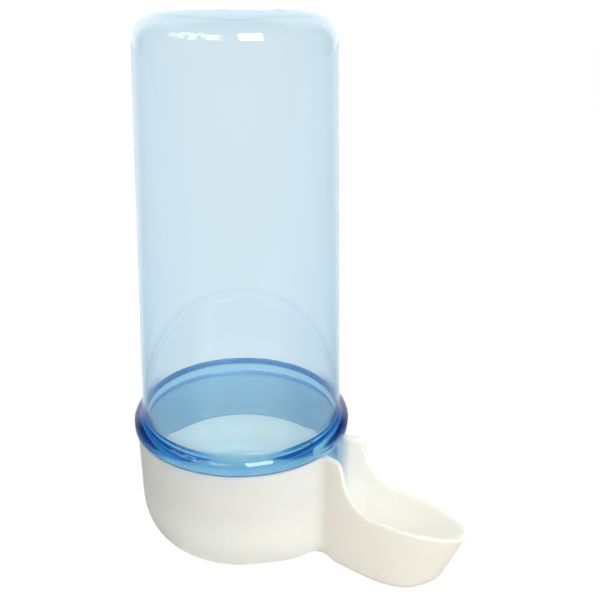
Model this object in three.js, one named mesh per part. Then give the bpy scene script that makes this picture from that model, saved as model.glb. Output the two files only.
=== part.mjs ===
// Siphon drinker for cage birds: a clear tapered reservoir tube standing with its open end down
// in a white moulded base, whose round cup opens through a throat into a boat-shaped spout.
// Millimetres, +Z up, spout along +X. The origin is on the tube's axis, on the base's underside.
import * as THREE from 'three';

// Fit between the two mouldings
const skirtDiameter = 49.6;
const seatClearance = 0.3;
const flangeOverhang = 0.6;
// The skirt's lower edge holds the water this far below the spout's nose
const waterMargin = 0.5;

// Reservoir tube
const bodyDiameter = 49.5;
const endDiameter = 43.3;
const tubeHeight = 96.2;
const endCornerRadius = 6.7;
const endDishDepth = 1;
const bodyWall = 0.8;
const skirtWall = 1.8;
const skirtEdgeRadius = 0.5;
const boreStepLength = 3.4;

// Bead that swells out of the tube and stands on the cup's rim
const beadHeight = 4.8;
const beadSideHeight = 1.6;
const beadTopEase = 0.7;
const beadSideEase = 1.6;
const beadEdgeRadius = 0.45;

// Base: cup
const cupHeight = 29.3;
const baseWall = 1.3;
const floorThickness = 1.6;
const wallDraft = THREE.MathUtils.degToRad(0.7);
const rimRadius = 0.45;
const floorFillet = 1.2;
const cupRoundInset = 6.2;
const cupRoundHeight = 10.5;

// Base: spout, its reaches measured from the cup's outer wall
const shoulderReach = 4.4;
const shoulderRadius = 1.8;
const dropAngle = THREE.MathUtils.degToRad(75.5);
const swoopRadius = 9.5;
const spoutRimHeight = 17.9;
const spoutRimFall = THREE.MathUtils.degToRad(3);
const spoutReach = 33.6;
const spoutWidth = 15.7;
const bellyLead = 1.2;
const neckWidth = 12.6;
const neckReach = 1.6;
const throatFilletRadius = 2;
const noseRadius = 4.6;
const bowAngle = THREE.MathUtils.degToRad(19.6);
const spoutRoundInset = 1.6;
const spoutRoundHeight = 2;

// Facets
const tubeSegments = 60;
const arcSteps = 4;
const easeSteps = 6;
const dishSteps = 4;
const cupSteps = 18;
const throatSteps = 4;
const swoopSteps = 14;
const bellySteps = 6;
const noseSteps = 5;
const roundRows = 6;
const wallRows = 3;

// Derived sizes
const skirtRadius = skirtDiameter / 2;
const cupRadius = skirtRadius + seatClearance + baseWall;
const flangeRadius = cupRadius + flangeOverhang;

const plasticBlue = new THREE.MeshStandardMaterial({
  color: 0xb4d8f0,
  roughness: 0.06,
  metalness: 0,
  transparent: true,
  opacity: 0.45,
});
const plasticWhite = new THREE.MeshStandardMaterial({ color: 0xf1efe6, roughness: 0.28, metalness: 0 });

// Points of an arc about (x, y) from one angle to another, both ends included
function arcPoints(x, y, radius, from, to, steps = arcSteps) {
  const points = [];
  for (let i = 0; i <= steps; i += 1) {
    const angle = THREE.MathUtils.lerp(from, to, i / steps);
    points.push(new THREE.Vector2(x + radius * Math.cos(angle), y + radius * Math.sin(angle)));
  }
  return points;
}

// Points of a smooth change of radius that leaves and arrives along the tube
function easePoints(from, to, fromEase, toEase) {
  const way = Math.sign(to.y - from.y);
  const curve = new THREE.CubicBezierCurve(
    from,
    new THREE.Vector2(from.x, from.y + way * fromEase),
    new THREE.Vector2(to.x, to.y - way * toEase),
    to,
  );
  return curve.getPoints(easeSteps);
}

// Reservoir tube: one profile turned round the axis, down the outside and up the inside

function tubeProfile() {
  const quarter = Math.PI / 2;
  const seat = cupHeight;
  const topOfTube = cupHeight + tubeHeight;
  const bodyRadius = bodyDiameter / 2;
  const beadTop = seat + beadHeight;
  const skirtBottom = rimProfile().tipHeight - waterMargin;
  const skirtBore = skirtRadius - skirtWall;

  const cornerCentre = endDiameter / 2 - endCornerRadius;
  const cornerHeight = topOfTube - endCornerRadius;
  const taper = Math.atan2(bodyRadius - endDiameter / 2, cornerHeight - beadTop);
  const stepTop = seat + boreStepLength;
  const boreAtStep = bodyRadius - bodyWall - (stepTop - beadTop) * Math.tan(taper);

  const dish = [];
  for (let i = 0; i < dishSteps; i += 1) {
    const fall = (endDishDepth * (1 + Math.cos((Math.PI * i) / dishSteps))) / 2;
    dish.push(new THREE.Vector2((cornerCentre * i) / dishSteps, topOfTube - fall));
  }
  const outside = [
    ...dish,
    ...arcPoints(cornerCentre, cornerHeight, endCornerRadius, quarter, taper, 2 * arcSteps),
    ...easePoints(
      new THREE.Vector2(bodyRadius, beadTop),
      new THREE.Vector2(flangeRadius, seat + beadSideHeight),
      beadTopEase,
      beadSideEase,
    ),
    ...arcPoints(flangeRadius - beadEdgeRadius, seat + beadEdgeRadius, beadEdgeRadius, 0, -quarter, 3),
    new THREE.Vector2(skirtRadius, seat),
    ...arcPoints(skirtRadius - skirtEdgeRadius, skirtBottom + skirtEdgeRadius, skirtEdgeRadius,
      0, -quarter, 2),
  ];
  const inside = [
    ...arcPoints(skirtBore + skirtEdgeRadius, skirtBottom + skirtEdgeRadius, skirtEdgeRadius,
      3 * quarter, 2 * quarter, 2),
    ...easePoints(
      new THREE.Vector2(skirtBore, seat),
      new THREE.Vector2(boreAtStep, stepTop),
      boreStepLength / 3,
      boreStepLength / 3,
    ),
    ...arcPoints(cornerCentre, cornerHeight, endCornerRadius - bodyWall, taper, quarter),
    ...dish.map((point) => new THREE.Vector2(point.x, point.y - bodyWall)).reverse(),
  ];
  return [...outside, ...inside];
}

function reservoirTube() {
  const geometry = new THREE.LatheGeometry(tubeProfile().reverse(), tubeSegments);
  geometry.rotateX(Math.PI / 2);
  const mesh = new THREE.Mesh(geometry, plasticBlue);
  mesh.name = 'reservoir_tube';
  return mesh;
}

// Side view of the rim along the spout: level shoulder, rounded corner, steep drop, swoop, then
// a nearly level line to the nose. Heights are z, distances x from the tube's axis.

function rimProfile() {
  const shoulderEnd = cupRadius + shoulderReach;
  const dropFoot = shoulderEnd + (cupHeight - spoutRimHeight) / Math.tan(dropAngle);
  const shoulderTangent = shoulderRadius * Math.tan(dropAngle / 2);
  const swoopTangent = swoopRadius * Math.tan((dropAngle - spoutRimFall) / 2);
  const swoopStart = new THREE.Vector2(
    dropFoot - swoopTangent * Math.cos(dropAngle),
    spoutRimHeight + swoopTangent * Math.sin(dropAngle),
  );
  const swoopCentre = new THREE.Vector2(
    swoopStart.x + swoopRadius * Math.sin(dropAngle),
    swoopStart.y + swoopRadius * Math.cos(dropAngle),
  );
  const swoopEnd = dropFoot + swoopTangent * Math.cos(spoutRimFall);
  const bellyX = swoopEnd + bellyLead;
  const heightPastSwoop = (x) => spoutRimHeight - (x - dropFoot) * Math.tan(spoutRimFall);
  const tip = cupRadius + spoutReach;

  const path = (startX) => {
    const quarter = Math.PI / 2;
    const rim = new THREE.Path();
    rim.moveTo(startX, cupHeight);
    rim.lineTo(shoulderEnd - shoulderTangent, cupHeight);
    rim.absarc(shoulderEnd - shoulderTangent, cupHeight - shoulderRadius, shoulderRadius,
      quarter, quarter - dropAngle, true);
    rim.lineTo(swoopStart.x, swoopStart.y);
    rim.absarc(swoopCentre.x, swoopCentre.y, swoopRadius,
      3 * quarter - dropAngle, 3 * quarter - spoutRimFall, false);
    rim.lineTo(bellyX, heightPastSwoop(bellyX));
    return rim;
  };
  return { bellyX, heightPastSwoop, path, tip, tipHeight: heightPastSwoop(tip) };
}

// Plan of the base: arcs that keep their centres at every offset. A station is a place on the plan;
// at(offset, z) gives its point at a height, that far inside the top outline.

function planStations() {
  const { bellyX, heightPastSwoop, path, tip, tipHeight } = rimProfile();
  const halfWidth = spoutWidth / 2;
  const quarter = Math.PI / 2;

  // Side of the spout from the neck to its widest place
  const neckLength = bellyX - cupRadius - neckReach;
  const neckSag = halfWidth - neckWidth / 2;
  const rearRadius = (neckLength ** 2 + neckSag ** 2) / (2 * neckSag);
  const rear = new THREE.Vector2(bellyX, halfWidth - rearRadius);

  // Concave fillet between the cup and that side, touching both circles
  const toCup = cupRadius + throatFilletRadius;
  const toRear = rearRadius + throatFilletRadius;
  const span = rear.length();
  const along = (toCup ** 2 - toRear ** 2 + span ** 2) / (2 * span);
  const aside = Math.sqrt(toCup ** 2 - along ** 2);
  const fillet = new THREE.Vector2(
    (rear.x * along - rear.y * aside) / span,
    (rear.y * along + rear.x * aside) / span,
  );
  const cupEnd = fillet.angle();
  const filletEnd = Math.atan2(rear.y - fillet.y, rear.x - fillet.x) + 2 * Math.PI;

  // Side from the widest place to the nose, which draws back towards the floor as a bow does
  const front = (z) => {
    const noseX = tip - noseRadius - (tipHeight - z) * Math.tan(bowAngle);
    const reach = noseX - bellyX;
    const radius = (reach ** 2 + halfWidth ** 2 - noseRadius ** 2) / (2 * (halfWidth - noseRadius));
    return { noseX, radius, end: Math.atan2(reach, radius - halfWidth) };
  };
  const polar = (x, y, radius, angle) => new THREE.Vector2(
    x + radius * Math.cos(angle),
    y + radius * Math.sin(angle),
  );

  const stations = [];
  for (let i = 0; i < cupSteps; i += 1) {
    const angle = THREE.MathUtils.lerp(Math.PI, cupEnd, i / cupSteps);
    stations.push({ rim: cupHeight, at: (offset) => polar(0, 0, cupRadius - offset, angle) });
  }
  for (let i = 0; i < throatSteps; i += 1) {
    const angle = THREE.MathUtils.lerp(cupEnd + Math.PI, filletEnd, i / throatSteps);
    stations.push({
      rim: cupHeight,
      at: (offset) => polar(fillet.x, fillet.y, throatFilletRadius + offset, angle),
    });
  }
  const sideStart = polar(fillet.x, fillet.y, throatFilletRadius, filletEnd);
  for (const point of path(sideStart.x).getSpacedPoints(swoopSteps).slice(0, swoopSteps)) {
    const angle = quarter + Math.asin((bellyX - point.x) / rearRadius);
    stations.push({ rim: point.y, at: (offset) => polar(rear.x, rear.y, rearRadius - offset, angle) });
  }
  for (let i = 0; i < bellySteps; i += 1) {
    const at = (offset, z) => {
      const { radius, end } = front(z);
      return polar(bellyX, halfWidth - radius, radius - offset, quarter - (end * i) / bellySteps);
    };
    stations.push({ rim: heightPastSwoop(at(0, tipHeight).x), at });
  }
  for (let i = 0; i <= noseSteps; i += 1) {
    const at = (offset, z) => {
      const { noseX, end } = front(z);
      const angle = THREE.MathUtils.lerp(quarter - end, 0, i / noseSteps);
      return polar(noseX, 0, noseRadius - offset, angle);
    };
    stations.push({ rim: heightPastSwoop(at(0, tipHeight).x), at });
  }
  return stations;
}

// One station's wall, from the underside up the outside, over the rim and down to the inner floor

function wallSection({ rim, at }) {
  const inCup = THREE.MathUtils.smoothstep(cupRadius + shoulderReach - at(0, rim).x, 0, cupRadius / 2);
  const roundInset = THREE.MathUtils.lerp(spoutRoundInset, cupRoundInset, inCup);
  const roundHeight = THREE.MathUtils.lerp(spoutRoundHeight, cupRoundHeight, inCup);
  const innerInset = Math.max(roundInset - baseWall, floorFillet);
  const innerHeight = Math.max(roundHeight - floorThickness, floorFillet);
  const point = (offset, z) => {
    const flat = at(offset + (cupHeight - z) * Math.tan(wallDraft), z);
    return new THREE.Vector3(flat.x, flat.y, z);
  };
  const quarter = Math.PI / 2;
  const section = [];
  for (let i = 0; i < roundRows; i += 1) {
    const angle = (quarter * i) / roundRows;
    section.push(point(roundInset * (1 - Math.sin(angle)), roundHeight * (1 - Math.cos(angle))));
  }
  for (let i = 0; i < wallRows; i += 1) {
    section.push(point(0, THREE.MathUtils.lerp(roundHeight, rim - rimRadius, i / wallRows)));
  }
  for (const corner of arcPoints(rimRadius, rim - rimRadius, rimRadius, Math.PI, quarter, 2)) {
    section.push(point(corner.x, corner.y));
  }
  for (const corner of arcPoints(baseWall - rimRadius, rim - rimRadius, rimRadius, quarter, 0, 2)) {
    section.push(point(corner.x, corner.y));
  }
  for (let i = 1; i <= wallRows; i += 1) {
    const z = THREE.MathUtils.lerp(rim - rimRadius, floorThickness + innerHeight, i / wallRows);
    section.push(point(baseWall, z));
  }
  for (let i = 1; i <= roundRows; i += 1) {
    const angle = (quarter * i) / roundRows;
    const inset = baseWall + innerInset * (1 - Math.cos(angle));
    section.push(point(inset, floorThickness + innerHeight * (1 - Math.sin(angle))));
  }
  return section;
}

// Closed solid from wall sections that stand side by side round the plan, with flat floors

function shellGeometry(sections) {
  const count = sections.length;
  const rows = sections[0].length;
  const positions = sections.flatMap((section) => section.flatMap((p) => [p.x, p.y, p.z]));
  const index = [];
  const vertex = (column, row) => (column % count) * rows + row;
  for (let column = 0; column < count; column += 1) {
    for (let row = 0; row + 1 < rows; row += 1) {
      const a = vertex(column, row);
      const b = vertex(column + 1, row);
      const c = vertex(column + 1, row + 1);
      const d = vertex(column, row + 1);
      index.push(a, b, d, b, c, d);
    }
  }
  const floor = (row, turned) => {
    const outline = sections.map((section) => new THREE.Vector2(section[row].x, section[row].y));
    for (const [i, j, k] of THREE.ShapeUtils.triangulateShape(outline, [])) {
      const corners = turned ? [i, k, j] : [i, j, k];
      index.push(...corners.map((column) => vertex(column, row)));
    }
  };
  floor(0, true);
  floor(rows - 1, false);
  const geometry = new THREE.BufferGeometry();
  geometry.setAttribute('position', new THREE.Float32BufferAttribute(positions, 3));
  geometry.setIndex(index);
  geometry.computeVertexNormals();
  return geometry;
}

function drinkingBase() {
  const half = planStations().map(wallSection);
  const mirrored = half.slice(1, -1).reverse().map(
    (section) => section.map((p) => new THREE.Vector3(p.x, -p.y, p.z)),
  );
  const sections = [...half, ...mirrored].reverse();
  const mesh = new THREE.Mesh(shellGeometry(sections), plasticWhite);
  mesh.name = 'drinking_base';
  return mesh;
}

const waterer = new THREE.Group();
waterer.add(drinkingBase(), reservoirTube());

export default waterer;
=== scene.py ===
"""Siphon drinker for cage birds: a clear blue tube standing open end down in a white spouted base.

Both mouldings are modelled finely here in place of the CAD solids, on the same sizes. Lengths are
written in millimetres and turned into metres where they are used. The stage and the lamps are in
metres, and their angles are in degrees.
"""
import math

import bmesh
import bpy
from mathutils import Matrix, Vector


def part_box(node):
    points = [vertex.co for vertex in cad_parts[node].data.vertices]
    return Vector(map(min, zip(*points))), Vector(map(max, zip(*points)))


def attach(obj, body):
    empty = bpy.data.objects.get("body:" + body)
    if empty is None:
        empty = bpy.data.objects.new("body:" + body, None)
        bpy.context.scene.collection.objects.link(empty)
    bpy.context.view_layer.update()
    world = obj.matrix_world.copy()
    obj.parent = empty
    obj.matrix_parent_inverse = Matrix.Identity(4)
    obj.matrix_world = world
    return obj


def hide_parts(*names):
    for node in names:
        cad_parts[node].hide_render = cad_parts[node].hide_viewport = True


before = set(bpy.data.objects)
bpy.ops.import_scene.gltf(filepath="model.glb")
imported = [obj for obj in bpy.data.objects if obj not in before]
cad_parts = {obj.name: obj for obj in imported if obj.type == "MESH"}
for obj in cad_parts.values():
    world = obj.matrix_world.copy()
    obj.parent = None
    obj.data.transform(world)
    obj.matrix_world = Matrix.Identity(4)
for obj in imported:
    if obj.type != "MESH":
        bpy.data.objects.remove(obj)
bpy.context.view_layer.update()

MM = 0.001
MERGE_DISTANCE = 0.0001
QUARTER = math.pi / 2
UP = (0, 0, 1)
WHITE = (1, 1, 1, 1)

# Sizes taken from the frame
TUBE_LOW, TUBE_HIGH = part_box("reservoir_tube")
BASE_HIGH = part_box("drinking_base")[1]
CUP_HEIGHT = BASE_HIGH[2] / MM
TOP_OF_TUBE = TUBE_HIGH[2] / MM
SKIRT_BOTTOM = TUBE_LOW[2] / MM
FLANGE_RADIUS = TUBE_HIGH[0] / MM

# Tube
SKIRT_RADIUS = 24.8
SKIRT_WALL = 1.2
SKIRT_EDGE_RADIUS = 0.5
BODY_RADIUS = 24.75
BODY_WALL = 0.6
END_RADIUS = 21.65
END_CORNER_RADIUS = 6.7
END_DISH_DEPTH = 1.0
END_WALL = 0.5
BEAD_HEIGHT = 4.8
BEAD_SIDE_HEIGHT = 1.6
BEAD_TOP_EASE = 0.35
BEAD_SIDE_EASE = 1.6
BEAD_EDGE_RADIUS = 0.45
SEAT_FILLET_RADIUS = 0.5
BORE_STEP_DROP = 8.0
BORE_STEP_LENGTH = 12.0

# Base
CUP_RADIUS = 26.4
BASE_WALL = 1.3
THROAT_WALL = 1.6
SPOUT_WALL = 1.1
FLOOR_THICKNESS = 1.6
WALL_DRAFT = math.radians(0.7)
FLOOR_FILLET = 1.2
CUP_ROUND_INSET = 6.2
CUP_ROUND_HEIGHT = 10.5
CUP_ROUND_FADE = CUP_RADIUS / 2
SPOUT_ROUND_INSET = 1.6
SPOUT_ROUND_HEIGHT = 2.0
NOSE_ROUND_INSET = 3.6
NOSE_ROUND_HEIGHT = 4.4
NOSE_ROUND_LENGTH = 9.0
SPOUT_TIP = 60.0
SPOUT_HALF_WIDTH = 7.85
BELLY_LEAD = 1.2
NECK_HALF_WIDTH = 6.3
NECK_REACH = 1.6
THROAT_CREASE_REACH = 6.2
THROAT_FILLET_RADIUS = 2.0
NOSE_RADIUS = 4.6
BOW_ANGLE = math.radians(19.6)

# Rim of the base
RIM_RADIUS = 0.5
RIM_WALL_SHARE = 0.48
SPOUT_RIM_DROP = 1.2
RIM_BAND_HEIGHT = 2.5
RIM_BAND_STEP = 0.12
RIM_BAND_EDGE = 0.08
RIM_BAND_MARGIN = 0.1
RIM_BAND_FADE = 2.0
SHOULDER_REACH = 4.4
SHOULDER_RADIUS = 1.8
DROP_ANGLE = math.radians(75.5)
SWOOP_RADIUS = 9.5
SPOUT_RIM_HEIGHT = 17.9
SPOUT_RIM_FALL = math.radians(3)

# Steps round the tube and along its profile
TUBE_SIDES = 256
DISH_STEPS = 12
SHOULDER_STEPS = 24
INNER_SHOULDER_STEPS = 20
BODY_STEPS = 24
BEAD_STEPS = 24
BEAD_EDGE_STEPS = 6
LIP_STEPS = 5
BORE_STEPS = 16

# Steps along the base's plan and rim, and up its wall
CUP_STATIONS = 80
FILLET_STATIONS = 16
BELLY_STATIONS = 28
NOSE_STATIONS = 24
RIM_START_STEPS = 6
RIM_SHOULDER_STEPS = 14
RIM_DROP_STEPS = 12
RIM_SWOOP_STEPS = 40
RIM_END_STEPS = 4
ROUND_STEPS = 16
WALL_STEPS = 10
BAND_STEPS = 6
BAND_TOP_STEPS = 2
RIM_OUTER_STEPS = 6
RIM_INNER_STEPS = 8

# Clear plastic. A noise is its cells to the metre along each axis and its detail.
CLEAR_IOR = 1.5
TINT_COLOUR = (0.075, 0.62, 0.88, 1)
TINT_DENSITY = 325.0
# Painted shade: a dark blue tint on the seat face, standing in for the shaded rim seen through it under
# the bead
SEAT_PAINTED_SHADE_TINT = (0.03, 0.22, 0.5, 1)
SEAT_FACING = (-0.1, -0.6)
SEAT_ROUGHNESS = 0.5
BODY_SHADOW_COLOUR = (0.66, 0.96, 1.0, 1)
SKIRT_SHADOW_COLOUR = (0.36, 0.74, 0.96, 1)
SKIRT_FADE = 1.0
BORE_FACING = (-2.0, -10.0)
BORE_HAZE = 0.18
BORE_HAZE_FADE = 6.0
HANDLING_NOISE = ((90, 90, 60), 3.0)
HANDLING_RANGE = (0.45, 0.75)
HANDLING_ROUGHNESS = (0.015, 0.045)
WAVE_NOISE = ((260, 260, 260), 1.0)
WAVE_HEIGHT = (0.008, 0.02)
WAVE_FADE = 8.0
FLOW_NOISE = ((500, 500, 18), 1.0)
FLOW_HEIGHT = 0.004

# White plastic
BASE_COLOUR = (0.915, 0.893, 0.852, 1)
BASE_CLOUD_COLOUR = (0.905, 0.88, 0.835, 1)
BASE_EDGE_COLOUR = (0.925, 0.906, 0.87, 1)
# Painted shade greying the up-facing rim tops, with the heights and facing that pick them out
RIM_PAINTED_SHADE_COLOUR = (0.62, 0.605, 0.575, 1)
RIM_SHADE_LEVEL = (8.0, 12.0)
RIM_SHADE_FACING = (0.3, 0.9)
EDGE_POINTINESS = (0.52, 0.62)
EDGE_POLISH = 0.06
CLOUD_NOISE = ((45, 45, 45), 4.0)
CLOUD_RANGE = (0.3, 0.7)
CLOUD_ROUGHNESS = 0.04
GRAIN_NOISE = ((1600, 1600, 1600), 2.0)
GRAIN_RANGE = (0.3, 0.7)
GRAIN_ROUGHNESS = (0.27, 0.35)
GRAIN_HEIGHT = 0.006
SINK_NOISE = ((70, 70, 70), 1.0)
SINK_HEIGHT = 0.03
SCATTER_SHARES = (1.0, 0.9, 0.7)
SCATTER_LENGTH = 2.0

# Floor
FLOOR_SIZE = 6.0
FLOOR_COLOUR = (0.01, 0.01, 0.01, 1)
FLOOR_GLOW = 1.0
FLOOR_FRONT_AZIMUTH = -15
FLOOR_FRONT_FADE = (0.05, 0.4)
FLOOR_FRONT_GLOW = 0.25
FLOOR_SIDE_FADE = (0.55, 0.9)
FLOOR_SIDE_GLOW = 0.3
FLOOR_BOUNCE = 0.6
FLOOR_FRONT_BOUNCE = 0.36
FLOOR_BOUNCE_COLOUR = (1.0, 0.95, 0.885, 1)

# Surroundings
ROOM_LIGHT = 0.05
SWEEP_LIGHT = 1.35
SWEEP_BOUNCE = 0.85
SWEEP_FADE = (-0.15, 0.25)
SWEEP_SIDE_FADE = (0.6, 0.85)
PASSED_LIGHT = 0.93
INSIDE_LIGHT = 1.25
BACK_LIGHT = 1.02

# Lamps, each with its azimuth, elevation, width, height and brightness as seen from the object
LAMP_COLOUR = (1.0, 0.967, 0.9)
LAMP_DISTANCE = 1.0
LAMP_TARGET = Vector((0, 0, 0.06))
RIGHT_WINDOW = (18, 36, 23, 21, 12.0)
LEFT_PANES = (
    (-74, 34, 18, 9, 2.0),
    (-62, 40, 12, 8, 3.0),
    (-64, 30, 9, 6, 1.6),
    (-50, 33, 9, 15, 3.6),
    (-44, 42, 7, 6, 2.0),
    (-36, 38, 8, 9, 3.4),
    (-27, 34, 12, 14, 4.2),
    (-18, 39, 6, 7, 2.4),
    (-17, 29, 7, 5, 1.8),
)
SOFT_LAMPS = {
    "key_low": (20, 22, 22, 18, 3.9),
    "key": (12, 40, 40, 40, 1.65),
    "key_high": (10, 65, 40, 40, 0.6),
    "right_low": (32, 12, 26, 22, 3.2),
    "right": (70, 33, 50, 45, 1.05),
    "left": (-85, 20, 40, 40, 0.8),
    "back": (180, 55, 50, 50, 2.2),
    "overhead": (0, 85, 50, 50, 1.35),
}
CLEAR_BOUNCES = 48
MATT_BOUNCES = 12

# Camera, fitted to the photograph, with its pitch and pan in radians
CAMERA_DISTANCE = 164.49
CAMERA_HEIGHT = 125.5
CAMERA_AZIMUTH = math.radians(33.5)
CAMERA_PITCH = 0.3934
CAMERA_PAN = 0.0466
CAMERA_CLIP_START = 5.0
SENSOR_WIDTH = 36.0
FOCAL_PIXELS = 736.65
CENTRE_PIXEL = (271.93, 315.15)
PICTURE_PIXELS = 600


def lerp(a, b, t):
    return a + (b - a) * t


def clamp(t):
    return min(max(t, 0.0), 1.0)


def smoothstep(x, low, high):
    t = clamp((x - low) / (high - low))
    return t * t * (3 - 2 * t)


def levels(low, high, steps):
    """Values from low towards high, the last one left out."""
    return [lerp(low, high, i / steps) for i in range(steps)]


def between(start, end, steps):
    """Points from start towards end, the last one left out."""
    return list(zip(levels(start[0], end[0], steps), levels(start[1], end[1], steps)))


def arc(x, y, radius, start, end, steps):
    """Points of an arc about (x, y), both ends included."""
    angles = [lerp(start, end, i / steps) for i in range(steps + 1)]
    return [(x + radius * math.cos(a), y + radius * math.sin(a)) for a in angles]


def ease(start, end, start_ease, end_ease, steps):
    """Points of a smooth change of radius that leaves and arrives along the tube."""
    way = math.copysign(1, end[1] - start[1])
    heights = start[1], start[1] + way * start_ease, end[1] - way * end_ease, end[1]
    points = []
    for i in range(steps + 1):
        t = i / steps
        weights = (1 - t) ** 3, 3 * t * (1 - t) ** 2, 3 * t ** 2 * (1 - t), t ** 3
        height = sum(weight * z for weight, z in zip(weights, heights))
        points.append((lerp(start[0], end[0], weights[2] + weights[3]), height))
    return points


def place_object(name, data):
    """Object in the scene for a mesh, lamp or camera."""
    item = bpy.data.objects.new(name, data)
    bpy.context.scene.collection.objects.link(item)
    return item


def shell_object(name, sections, caps):
    """Mesh object from sections that stand side by side round a closed plan, in millimetres."""
    bm = bmesh.new()
    rows = len(sections[0])
    grid = [[bm.verts.new(Vector(p) * MM) for p in section] for section in sections]
    for left, right in zip(grid, grid[1:] + grid[:1]):
        for row in range(rows - 1):
            bm.faces.new((left[row], right[row], right[row + 1], left[row + 1]))
    if caps:
        bm.faces.new([column[0] for column in reversed(grid)])
        bm.faces.new([column[-1] for column in grid])
    bmesh.ops.remove_doubles(bm, verts=bm.verts, dist=MERGE_DISTANCE * MM)
    bmesh.ops.triangulate(bm, faces=[face for face in bm.faces if len(face.verts) > 4])
    bmesh.ops.recalc_face_normals(bm, faces=bm.faces)
    mesh = bpy.data.meshes.new(name)
    bm.to_mesh(mesh)
    bm.free()
    mesh.shade_smooth()
    return place_object(name, mesh)


# Reservoir tube


def tube_profile():
    """Radius and height down the outside of the tube and up its inside, from axis to axis."""
    bead_top = CUP_HEIGHT + BEAD_HEIGHT
    corner_centre = END_RADIUS - END_CORNER_RADIUS
    corner_height = TOP_OF_TUBE - END_CORNER_RADIUS
    taper = math.atan2(BODY_RADIUS - END_RADIUS, corner_height - bead_top)
    inner_corner = END_CORNER_RADIUS - END_WALL
    inner_end = TOP_OF_TUBE - END_WALL
    skirt_bore = SKIRT_RADIUS - SKIRT_WALL
    step_bottom = CUP_HEIGHT - BORE_STEP_DROP
    step_top = step_bottom + BORE_STEP_LENGTH
    bore_at_step = BODY_RADIUS - BODY_WALL - (step_top - bead_top) * math.tan(taper)
    edge = SKIRT_EDGE_RADIUS
    corner = BEAD_EDGE_RADIUS
    fillet = SEAT_FILLET_RADIUS

    step_ease = BORE_STEP_LENGTH / 3
    step = ease((skirt_bore, step_bottom), (bore_at_step, step_top), step_ease, step_ease, BORE_STEPS)
    dish = []
    for share in levels(0, 1, DISH_STEPS):
        depth = END_DISH_DEPTH * (0.5 + 0.5 * math.cos(math.pi * share))
        dish.append((corner_centre * share, TOP_OF_TUBE - depth))
    shoulder = arc(corner_centre, corner_height, END_CORNER_RADIUS, QUARTER, taper, SHOULDER_STEPS)
    bead_side = (FLANGE_RADIUS, CUP_HEIGHT + BEAD_SIDE_HEIGHT)
    bead = ease((BODY_RADIUS, bead_top), bead_side, BEAD_TOP_EASE, BEAD_SIDE_EASE, BEAD_STEPS)
    bead += arc(FLANGE_RADIUS - corner, CUP_HEIGHT + corner, corner, 0, -QUARTER, BEAD_EDGE_STEPS)
    seat_fillet = arc(
        SKIRT_RADIUS + fillet, CUP_HEIGHT - fillet, fillet, QUARTER, 2 * QUARTER, BEAD_EDGE_STEPS,
    )
    lip = arc(SKIRT_RADIUS - edge, SKIRT_BOTTOM + edge, edge, 0, -QUARTER, LIP_STEPS)
    inner_lip = arc(skirt_bore + edge, SKIRT_BOTTOM + edge, edge, 3 * QUARTER, 2 * QUARTER, LIP_STEPS)
    inner_shoulder = arc(
        corner_centre, inner_end - inner_corner, inner_corner, taper, QUARTER, INNER_SHOULDER_STEPS,
    )
    outside = (
        dish
        + shoulder[:-1]
        + between(shoulder[-1], bead[0], BODY_STEPS)
        + bead
        + seat_fillet
        + lip
    )
    inside = (
        inner_lip
        + step
        + between(step[-1], inner_shoulder[0], BODY_STEPS)[1:]
        + inner_shoulder
        + [(radius, z - END_WALL) for radius, z in reversed(dish)]
    )
    return outside + inside


def make_tube():
    profile = tube_profile()
    sections = []
    for angle in levels(0, 2 * math.pi, TUBE_SIDES):
        sections.append([(r * math.cos(angle), r * math.sin(angle), z) for r, z in profile])
    tube = shell_object("clear_tube", sections, caps=False)
    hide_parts("reservoir_tube")
    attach(tube, "tube")
    return tube


# Drinking base


def rim_profile():
    """Side view of the rim along the spout: where the belly is, the rim's height past the swoop, and
    the rim's path up to the belly."""
    shoulder_end = CUP_RADIUS + SHOULDER_REACH
    drop_foot = shoulder_end + (CUP_HEIGHT - SPOUT_RIM_HEIGHT) / math.tan(DROP_ANGLE)
    shoulder_tangent = SHOULDER_RADIUS * math.tan(DROP_ANGLE / 2)
    swoop_tangent = SWOOP_RADIUS * math.tan((DROP_ANGLE - SPOUT_RIM_FALL) / 2)
    swoop_x = drop_foot - swoop_tangent * math.cos(DROP_ANGLE) + SWOOP_RADIUS * math.sin(DROP_ANGLE)
    swoop_z = SPOUT_RIM_HEIGHT + swoop_tangent * math.sin(DROP_ANGLE) + SWOOP_RADIUS * math.cos(DROP_ANGLE)
    belly_x = drop_foot + swoop_tangent * math.cos(SPOUT_RIM_FALL) + BELLY_LEAD

    def height(x):
        return SPOUT_RIM_HEIGHT - (x - drop_foot) * math.tan(SPOUT_RIM_FALL)

    def path(start_x):
        corner_x = shoulder_end - shoulder_tangent
        corner_z = CUP_HEIGHT - SHOULDER_RADIUS
        corner_end = QUARTER - DROP_ANGLE
        swoop_start = 3 * QUARTER - DROP_ANGLE
        swoop_end = 3 * QUARTER - SPOUT_RIM_FALL
        corner = arc(corner_x, corner_z, SHOULDER_RADIUS, QUARTER, corner_end, RIM_SHOULDER_STEPS)
        swoop = arc(swoop_x, swoop_z, SWOOP_RADIUS, swoop_start, swoop_end, RIM_SWOOP_STEPS)
        return (
            between((start_x, CUP_HEIGHT), corner[0], RIM_START_STEPS)
            + corner[:-1]
            + between(corner[-1], swoop[0], RIM_DROP_STEPS)
            + swoop[:-1]
            + between(swoop[-1], (belly_x, height(belly_x)), RIM_END_STEPS)
        )

    return belly_x, height, path


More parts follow.
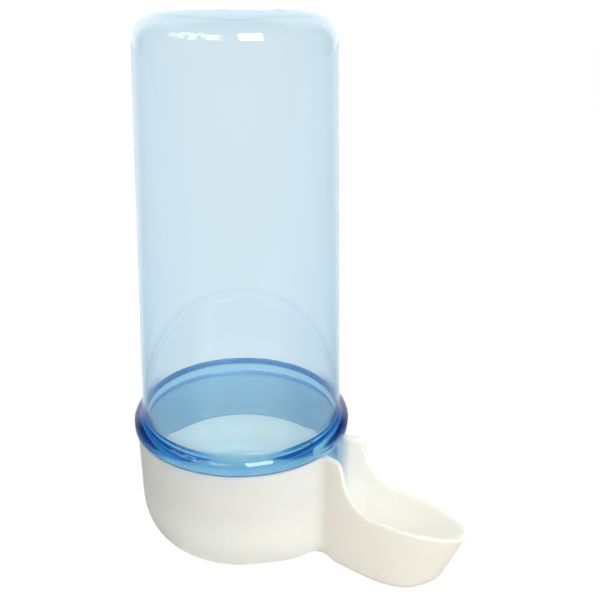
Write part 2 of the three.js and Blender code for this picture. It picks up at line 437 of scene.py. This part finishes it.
def plan_stations():
    """Half the plan, from the back of the cup to the nose: each place's rim height and its point
    at an inward offset and a height. Every arc keeps its centre at each offset."""
    belly_x, height, path = rim_profile()
    tip_height = height(SPOUT_TIP)
    neck_length = belly_x - CUP_RADIUS - NECK_REACH
    neck_sag = SPOUT_HALF_WIDTH - NECK_HALF_WIDTH
    rear_radius = (neck_length ** 2 + neck_sag ** 2) / (2 * neck_sag)
    rear_y = SPOUT_HALF_WIDTH - rear_radius

    to_cup = CUP_RADIUS + THROAT_FILLET_RADIUS
    to_rear = rear_radius + THROAT_FILLET_RADIUS
    span = math.hypot(belly_x, rear_y)
    reach = (to_cup ** 2 - to_rear ** 2 + span ** 2) / (2 * span)
    aside = math.sqrt(to_cup ** 2 - reach ** 2)
    fillet_x = (belly_x * reach - rear_y * aside) / span
    fillet_y = (rear_y * reach + belly_x * aside) / span
    cup_end = math.atan2(fillet_y, fillet_x)
    fillet_end = math.atan2(rear_y - fillet_y, belly_x - fillet_x) + 2 * math.pi

    def front(z):
        """The nose's centre at a height, and the radius and sweep of the arc from belly to nose."""
        nose_x = SPOUT_TIP - NOSE_RADIUS - (tip_height - z) * math.tan(BOW_ANGLE)
        length = nose_x - belly_x
        radius = (length ** 2 + SPOUT_HALF_WIDTH ** 2 - NOSE_RADIUS ** 2)
        radius /= 2 * (SPOUT_HALF_WIDTH - NOSE_RADIUS)
        return nose_x, radius, math.atan2(length, radius - SPOUT_HALF_WIDTH)

    def polar(x, y, radius, angle):
        return x + radius * math.cos(angle), y + radius * math.sin(angle)

    def cup_point(angle):
        return lambda offset, z: polar(0, 0, CUP_RADIUS - offset, angle)

    def fillet_point(angle):
        return lambda offset, z: polar(fillet_x, fillet_y, THROAT_FILLET_RADIUS + offset, angle)

    def rear_point(angle):
        return lambda offset, z: polar(belly_x, rear_y, rear_radius - offset, angle)

    def belly_point(share):
        def at(offset, z):
            _, radius, sweep = front(z)
            return polar(belly_x, SPOUT_HALF_WIDTH - radius, radius - offset, QUARTER - sweep * share)
        return at

    def nose_point(share):
        def at(offset, z):
            nose_x, _, sweep = front(z)
            return polar(nose_x, 0, NOSE_RADIUS - offset, (QUARTER - sweep) * (1 - share))
        return at

    stations = []
    for angle in levels(math.pi, cup_end, CUP_STATIONS):
        stations.append((CUP_HEIGHT, cup_point(angle)))
    for angle in levels(cup_end + math.pi, fillet_end, FILLET_STATIONS):
        stations.append((CUP_HEIGHT, fillet_point(angle)))
    start_x = polar(fillet_x, fillet_y, THROAT_FILLET_RADIUS, fillet_end)[0]
    for x, z in path(start_x):
        stations.append((z, rear_point(QUARTER + math.asin((belly_x - x) / rear_radius))))
    front_points = [belly_point(share) for share in levels(0, 1, BELLY_STATIONS)]
    front_points += [nose_point(i / NOSE_STATIONS) for i in range(NOSE_STATIONS + 1)]
    for at in front_points:
        stations.append((height(at(0, tip_height)[0]), at))
    return stations


def wall_section(rim, at):
    """One place's wall, from the underside up the outside, over the rim and down to the inner floor."""
    x = at(0, rim)[0]
    in_cup = smoothstep(CUP_RADIUS + SHOULDER_REACH - x, 0, CUP_ROUND_FADE)
    in_nose = smoothstep(x, SPOUT_TIP - NOSE_ROUND_LENGTH, SPOUT_TIP)
    round_inset = lerp(lerp(SPOUT_ROUND_INSET, NOSE_ROUND_INSET, in_nose), CUP_ROUND_INSET, in_cup)
    round_height = lerp(lerp(SPOUT_ROUND_HEIGHT, NOSE_ROUND_HEIGHT, in_nose), CUP_ROUND_HEIGHT, in_cup)

    # The wall thins from the throat to a crease in the spout
    from_crease = (CUP_RADIUS + THROAT_CREASE_REACH - x) / (THROAT_CREASE_REACH - NECK_REACH)
    spout_wall = lerp(SPOUT_WALL, THROAT_WALL, clamp(from_crease))
    wall = lerp(spout_wall, BASE_WALL, smoothstep(CUP_RADIUS + NECK_REACH - x, 0, THROAT_FILLET_RADIUS))

    rim_radius = min(RIM_RADIUS, RIM_WALL_SHARE * wall)
    rim_drop = lerp(SPOUT_RIM_DROP, RIM_RADIUS, in_cup)
    rim_start = rim - rim_radius
    inner_inset = max(round_inset - wall, FLOOR_FILLET)
    inner_height = max(round_height - FLOOR_THICKNESS, FLOOR_FILLET)
    inner_start = FLOOR_THICKNESS + inner_height
    band = RIM_BAND_STEP * smoothstep(CUP_RADIUS - x, 0, RIM_BAND_FADE)
    band_edge = CUP_HEIGHT - RIM_BAND_HEIGHT
    band_low = min(rim_start, band_edge - RIM_BAND_MARGIN)
    band_high = min(rim_start, band_edge + RIM_BAND_MARGIN)
    turns = [QUARTER * i / ROUND_STEPS for i in range(ROUND_STEPS + 1)]

    def point(offset, z):
        return (*at(offset + (CUP_HEIGHT - z) * math.tan(WALL_DRAFT), z), z)

    def outer(z):
        return point(band * smoothstep(band_edge - z, -RIM_BAND_EDGE, RIM_BAND_EDGE), z)

    section = []
    for turn in turns[:-1]:
        inset = round_inset * (1 - math.sin(turn)) + band
        section.append(point(inset, round_height * (1 - math.cos(turn))))
    heights = (
        levels(round_height, band_low, WALL_STEPS)
        + levels(band_low, band_high, BAND_STEPS)
        + levels(band_high, rim_start, BAND_TOP_STEPS)
    )
    section += [outer(z) for z in heights]
    for offset, z in arc(rim_radius, rim_start, rim_radius, math.pi, QUARTER, RIM_OUTER_STEPS):
        section.append(point(offset, z))
    for inward, up in arc(0, 0, 1, QUARTER, 0, RIM_INNER_STEPS):
        section.append(point(wall - rim_radius * (1 - inward), rim - rim_drop * (1 - up)))
    section += [point(wall, z) for z in levels(rim - rim_drop, inner_start, WALL_STEPS)[1:]]
    for turn in turns:
        inset = wall + inner_inset * (1 - math.cos(turn))
        section.append(point(inset, FLOOR_THICKNESS + inner_height * (1 - math.sin(turn))))
    return section


def make_base():
    half = [wall_section(rim, at) for rim, at in plan_stations()]
    mirrored = [[(x, -y, z) for x, y, z in section] for section in reversed(half[1:-1])]
    base = shell_object("white_base", half + mirrored, caps=True)
    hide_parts("drinking_base")
    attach(base, "base")
    return base


# Shader nodes


def feed(tree, socket, value):
    """A fixed value or another node's output for a socket."""
    if isinstance(value, bpy.types.NodeSocket):
        tree.links.new(value, socket)
    else:
        socket.default_value = value


def ramp(tree, value, low, high, start, end):
    """Smooth change from start to end while a value goes from low to high."""
    node = tree.nodes.new("ShaderNodeMapRange")
    node.interpolation_type = "SMOOTHSTEP"
    for socket, number in zip(("From Min", "From Max", "To Min", "To Max"), (low, high, start, end)):
        node.inputs[socket].default_value = number
    tree.links.new(value, node.inputs["Value"])
    return node.outputs["Result"]


def combine(tree, operation, first, second=0.0):
    """Result of a calculation with one or two values."""
    node = tree.nodes.new("ShaderNodeMath")
    node.operation = operation
    feed(tree, node.inputs[0], first)
    feed(tree, node.inputs[1], second)
    return node.outputs["Value"]


def along(tree, first, second):
    """Dot product of two vectors."""
    node = tree.nodes.new("ShaderNodeVectorMath")
    node.operation = "DOT_PRODUCT"
    feed(tree, node.inputs[0], first)
    feed(tree, node.inputs[1], second)
    return node.outputs["Value"]


def blend(tree, factor, first, second):
    """Colour between two colours."""
    node = tree.nodes.new("ShaderNodeMix")
    node.data_type = "RGBA"
    feed(tree, node.inputs["Factor"], factor)
    colours = [socket for socket in node.inputs if socket.type == "RGBA"]
    feed(tree, colours[0], first)
    feed(tree, colours[1], second)
    return [socket for socket in node.outputs if socket.type == "RGBA"][0]


def noise(tree, place, cells, detail):
    """Noise from 0 to 1 with a number of cells to the metre along each axis."""
    mapping = tree.nodes.new("ShaderNodeMapping")
    mapping.inputs["Scale"].default_value = cells
    tree.links.new(place, mapping.inputs["Vector"])
    texture = tree.nodes.new("ShaderNodeTexNoise")
    texture.inputs["Scale"].default_value = 1.0
    texture.inputs["Detail"].default_value = detail
    tree.links.new(mapping.outputs["Vector"], texture.inputs["Vector"])
    return texture.outputs["Fac"]


def shift(tree, factor, first, second):
    """First value, or the second one where the factor is 1."""
    change = combine(tree, "SUBTRACT", second, first)
    return combine(tree, "ADD", first, combine(tree, "MULTIPLY", factor, change))


def ray_kinds(tree):
    """Whether a ray was last mirrored, last left a matt surface or last passed the tube's surface, and
    whether it has left any matt surface."""
    ray = tree.nodes.new("ShaderNodeLightPath").outputs
    mirrored = combine(tree, "MULTIPLY", ray["Is Glossy Ray"], ray["Is Reflection Ray"])
    lighting = combine(tree, "MINIMUM", ray["Diffuse Depth"], 1.0)
    return mirrored, ray["Is Diffuse Ray"], ray["Is Transmission Ray"], lighting


def bump(tree, height, shader):
    """Relief on a shader from a height in millimetres."""
    node = tree.nodes.new("ShaderNodeBump")
    node.inputs["Distance"].default_value = MM
    tree.links.new(height, node.inputs["Height"])
    tree.links.new(node.outputs["Normal"], shader.inputs["Normal"])


# Materials


def new_material(name):
    material = bpy.data.materials.new(name)
    material.use_nodes = True
    tree = material.node_tree
    return material, tree, tree.nodes["Principled BSDF"]


def clear_blue_plastic():
    """Clear plastic tinted through its thickness. Lamp rays pass it with a tint, so that it throws only
    a coloured shadow."""
    material, tree, shader = new_material("clear_blue_plastic")
    shader.inputs["IOR"].default_value = CLEAR_IOR
    shader.inputs["Transmission Weight"].default_value = 1.0
    surface = tree.nodes.new("ShaderNodeTexCoord")
    place = surface.outputs["Object"]
    normal = surface.outputs["Normal"]
    height = along(tree, place, UP)
    bead_top = CUP_HEIGHT + BEAD_HEIGHT
    shoulder = TOP_OF_TUBE - 2 * END_CORNER_RADIUS

    # Scuffed seat face, tinted darker as painted shade, and hazy bore. In the bore a place's reach along
    # its normal is below zero.
    low = ramp(tree, height, bead_top * MM, (bead_top - SKIRT_FADE) * MM, 0.0, 1.0)
    facing_down = ramp(tree, along(tree, normal, UP), *SEAT_FACING, 0.0, 1.0)
    scuffed_shaded_seat = combine(tree, "MULTIPLY", low, facing_down)
    in_bore = ramp(tree, along(tree, place, normal), *(reach * MM for reach in BORE_FACING), 0.0, 1.0)
    haze_level = ramp(tree, height, (bead_top + BORE_HAZE_FADE) * MM, bead_top * MM, 0.0, BORE_HAZE)
    haze = combine(tree, "MULTIPLY", in_bore, haze_level)
    rough = combine(tree, "MAXIMUM", haze, combine(tree, "MULTIPLY", scuffed_shaded_seat, SEAT_ROUGHNESS))
    handling = ramp(tree, noise(tree, place, *HANDLING_NOISE), *HANDLING_RANGE, *HANDLING_ROUGHNESS)
    tree.links.new(combine(tree, "ADD", rough, handling), shader.inputs["Roughness"])
    # Painted shade: the seat face is tinted dark blue, so the rim seen through it looks shaded; its
    # roughness is the scuffing
    tree.links.new(blend(tree, scuffed_shaded_seat, WHITE, SEAT_PAINTED_SHADE_TINT), shader.inputs["Base Color"])

    # Slight waves and flow lines of the moulding
    wave_height = ramp(tree, height, shoulder * MM, (shoulder + WAVE_FADE) * MM, *WAVE_HEIGHT)
    waves = combine(tree, "MULTIPLY", noise(tree, place, *WAVE_NOISE), wave_height)
    flow = combine(tree, "MULTIPLY", noise(tree, place, *FLOW_NOISE), FLOW_HEIGHT)
    bump(tree, combine(tree, "ADD", waves, flow), shader)

    # Tint, and the way lamp rays pass
    absorption = tree.nodes.new("ShaderNodeVolumeAbsorption")
    absorption.inputs["Color"].default_value = TINT_COLOUR
    absorption.inputs["Density"].default_value = TINT_DENSITY
    output = tree.nodes["Material Output"]
    tree.links.new(absorption.outputs["Volume"], output.inputs["Volume"])
    passing = tree.nodes.new("ShaderNodeBsdfTransparent")
    shadow_colour = blend(tree, low, BODY_SHADOW_COLOUR, SKIRT_SHADOW_COLOUR)
    tree.links.new(shadow_colour, passing.inputs["Color"])
    either = tree.nodes.new("ShaderNodeMixShader")
    lamp_ray = tree.nodes.new("ShaderNodeLightPath").outputs["Is Shadow Ray"]
    tree.links.new(lamp_ray, either.inputs["Fac"])
    tree.links.new(shader.outputs["BSDF"], either.inputs[1])
    tree.links.new(passing.outputs["BSDF"], either.inputs[2])
    tree.links.new(either.outputs["Shader"], output.inputs["Surface"])
    return material


def white_plastic():
    """Slightly translucent cream plastic, a little smoother and paler along its edges, with painted shade
    greying the rim's top."""
    material, tree, shader = new_material("white_plastic")
    surface = tree.nodes.new("ShaderNodeTexCoord")
    place = surface.outputs["Object"]
    above_floor = ramp(tree, along(tree, place, UP), *(level * MM for level in RIM_SHADE_LEVEL), 0.0, 1.0)
    facing_up = ramp(tree, along(tree, surface.outputs["Normal"], UP), *RIM_SHADE_FACING, 0.0, 1.0)
    # Painted shade: up-facing rim tops above the inner floor are greyed, darker than the lit plastic
    # around them
    rim = combine(tree, "MULTIPLY", above_floor, facing_up)
    pointiness = tree.nodes.new("ShaderNodeNewGeometry").outputs["Pointiness"]
    edge = ramp(tree, pointiness, *EDGE_POINTINESS, 0.0, 1.0)
    cloud = ramp(tree, noise(tree, place, *CLOUD_NOISE), *CLOUD_RANGE, 0.0, 1.0)
    grain = noise(tree, place, *GRAIN_NOISE)

    plain = blend(tree, cloud, BASE_COLOUR, BASE_CLOUD_COLOUR)
    body = blend(tree, edge, plain, BASE_EDGE_COLOUR)
    tree.links.new(blend(tree, rim, body, RIM_PAINTED_SHADE_COLOUR), shader.inputs["Base Color"])
    grain_rough = ramp(tree, grain, *GRAIN_RANGE, *GRAIN_ROUGHNESS)
    rough = combine(tree, "ADD", grain_rough, combine(tree, "MULTIPLY", cloud, CLOUD_ROUGHNESS))
    polish = combine(tree, "MULTIPLY", edge, EDGE_POLISH)
    tree.links.new(combine(tree, "SUBTRACT", rough, polish), shader.inputs["Roughness"])
    sink = combine(tree, "MULTIPLY", noise(tree, place, *SINK_NOISE), SINK_HEIGHT)
    relief = combine(tree, "ADD", combine(tree, "MULTIPLY", grain, GRAIN_HEIGHT), sink)
    bump(tree, relief, shader)
    shader.inputs["Subsurface Weight"].default_value = 1.0
    shader.inputs["Subsurface Radius"].default_value = SCATTER_SHARES
    shader.inputs["Subsurface Scale"].default_value = SCATTER_LENGTH * MM
    return material


# Stage, light and camera


def toward(azimuth, elevation):
    """Direction at an angle to the right of the camera's side of the object, and up."""
    turn = CAMERA_AZIMUTH + math.radians(azimuth)
    rise = math.radians(elevation)
    return Vector((math.sin(turn) * math.cos(rise), -math.cos(turn) * math.cos(rise), math.sin(rise)))


def floor_white():
    """Glowing white. Mirrored rays find it dimmer in front and at the sides. Rays from matt surfaces find
    it dimmer, most of all in front, and warmer."""
    material, tree, shader = new_material("floor_white")
    shader.inputs["Base Color"].default_value = FLOOR_COLOUR
    shader.inputs["Roughness"].default_value = 1.0
    shader.inputs["Specular IOR Level"].default_value = 0.0
    place = tree.nodes.new("ShaderNodeTexCoord").outputs["Object"]
    forward = along(tree, place, toward(FLOOR_FRONT_AZIMUTH, 0))
    distance = combine(tree, "SQRT", along(tree, place, place))
    offside = combine(tree, "ABSOLUTE", along(tree, place, toward(90, 0)))
    aside = combine(tree, "DIVIDE", offside, distance)
    mirrored, matt, passed, lighting = ray_kinds(tree)
    front = ramp(tree, forward, *FLOOR_FRONT_FADE, FLOOR_GLOW, FLOOR_FRONT_GLOW)
    side = ramp(tree, aside, *FLOOR_SIDE_FADE, 1.0, FLOOR_SIDE_GLOW)
    mirror_glow = combine(tree, "MULTIPLY", front, side)
    matt_glow = ramp(tree, forward, *FLOOR_FRONT_FADE, FLOOR_BOUNCE, FLOOR_FRONT_BOUNCE)
    seen = shift(tree, passed, FLOOR_GLOW, shift(tree, lighting, PASSED_LIGHT, INSIDE_LIGHT))
    glow = shift(tree, matt, shift(tree, mirrored, seen, mirror_glow), matt_glow)
    tree.links.new(glow, shader.inputs["Emission Strength"])
    tree.links.new(blend(tree, matt, WHITE, FLOOR_BOUNCE_COLOUR), shader.inputs["Emission Color"])
    return material


def make_stage():
    bm = bmesh.new()
    bmesh.ops.create_grid(bm, x_segments=1, y_segments=1, size=FLOOR_SIZE)
    mesh = bpy.data.meshes.new("floor")
    bm.to_mesh(mesh)
    bm.free()
    floor = place_object("floor", mesh)
    floor.data.materials.append(floor_white())


def make_world():
    """White all round where it is seen directly or through the tube. What mirrors and what is lit by
    it has a dim room with a white sweep behind the object instead."""
    world = bpy.data.worlds.new("studio")
    world.use_nodes = True
    tree = world.node_tree
    background = tree.nodes["Background"]
    direction = tree.nodes.new("ShaderNodeTexCoord").outputs["Generated"]
    behind = ramp(tree, along(tree, direction, toward(180, 0)), *SWEEP_FADE, 0.0, SWEEP_LIGHT)
    aside = combine(tree, "ABSOLUTE", along(tree, direction, toward(90, 0)))
    sweep = combine(tree, "MULTIPLY", behind, ramp(tree, aside, *SWEEP_SIDE_FADE, 1.0, 0.0))
    mirrored, matt, passed, lighting = ray_kinds(tree)
    sweep = combine(tree, "MULTIPLY", sweep, shift(tree, matt, 1.0, SWEEP_BOUNCE))
    room = combine(tree, "ADD", sweep, ROOM_LIGHT)
    seen = shift(tree, passed, BACK_LIGHT, shift(tree, lighting, PASSED_LIGHT, INSIDE_LIGHT))
    glow = shift(tree, combine(tree, "ADD", mirrored, matt), seen, room)
    tree.links.new(glow, background.inputs["Strength"])
    background.inputs["Color"].default_value = WHITE
    bpy.context.scene.world = world


def make_lamp(name, azimuth, elevation, width, height, radiance, for_mirrors):
    """Soft panel of an angular size and brightness as seen from the object, for what mirrors or for
    matt surfaces."""
    lamp = bpy.data.lights.new(name, "AREA")
    lamp.shape = "RECTANGLE"
    lamp.size = 2 * LAMP_DISTANCE * math.tan(math.radians(width) / 2)
    lamp.size_y = 2 * LAMP_DISTANCE * math.tan(math.radians(height) / 2)
    lamp.energy = radiance * math.pi * lamp.size * lamp.size_y
    lamp.color = LAMP_COLOUR
    direction = toward(azimuth, elevation)
    light = place_object(name, lamp)
    light.location = LAMP_TARGET + direction * LAMP_DISTANCE
    light.rotation_euler = (-direction).to_track_quat("-Z", "Y").to_euler()
    light.visible_camera = False
    light.visible_diffuse = not for_mirrors
    light.visible_glossy = for_mirrors
    light.visible_transmission = for_mirrors


def make_lights():
    make_lamp("window_right", *RIGHT_WINDOW, for_mirrors=True)
    for number, pane in enumerate(LEFT_PANES):
        make_lamp(f"window_left_{number}", *pane, for_mirrors=True)
    for name, lamp in SOFT_LAMPS.items():
        make_lamp(name, *lamp, for_mirrors=False)


def make_camera():
    data = bpy.data.cameras.new("camera")
    data.sensor_width = SENSOR_WIDTH
    data.lens = FOCAL_PIXELS / PICTURE_PIXELS * SENSOR_WIDTH
    data.shift_x = 0.5 - CENTRE_PIXEL[0] / PICTURE_PIXELS
    data.shift_y = CENTRE_PIXEL[1] / PICTURE_PIXELS - 0.5
    data.clip_start = CAMERA_CLIP_START * MM
    camera = place_object("camera", data)
    camera.location = Vector((
        CAMERA_DISTANCE * math.sin(CAMERA_AZIMUTH),
        -CAMERA_DISTANCE * math.cos(CAMERA_AZIMUTH),
        CAMERA_HEIGHT,
    )) * MM
    camera.rotation_euler = (QUARTER - CAMERA_PITCH, 0, CAMERA_AZIMUTH - CAMERA_PAN)
    bpy.context.scene.camera = camera


make_tube().data.materials.append(clear_blue_plastic())
make_base().data.materials.append(white_plastic())
make_stage()
make_world()
make_lights()
make_camera()
bpy.context.scene.view_settings.view_transform = "Standard"
bpy.context.scene.cycles.max_bounces = CLEAR_BOUNCES
bpy.context.scene.cycles.transmission_bounces = CLEAR_BOUNCES
bpy.context.scene.cycles.glossy_bounces = CLEAR_BOUNCES
bpy.context.scene.cycles.diffuse_bounces = MATT_BOUNCES
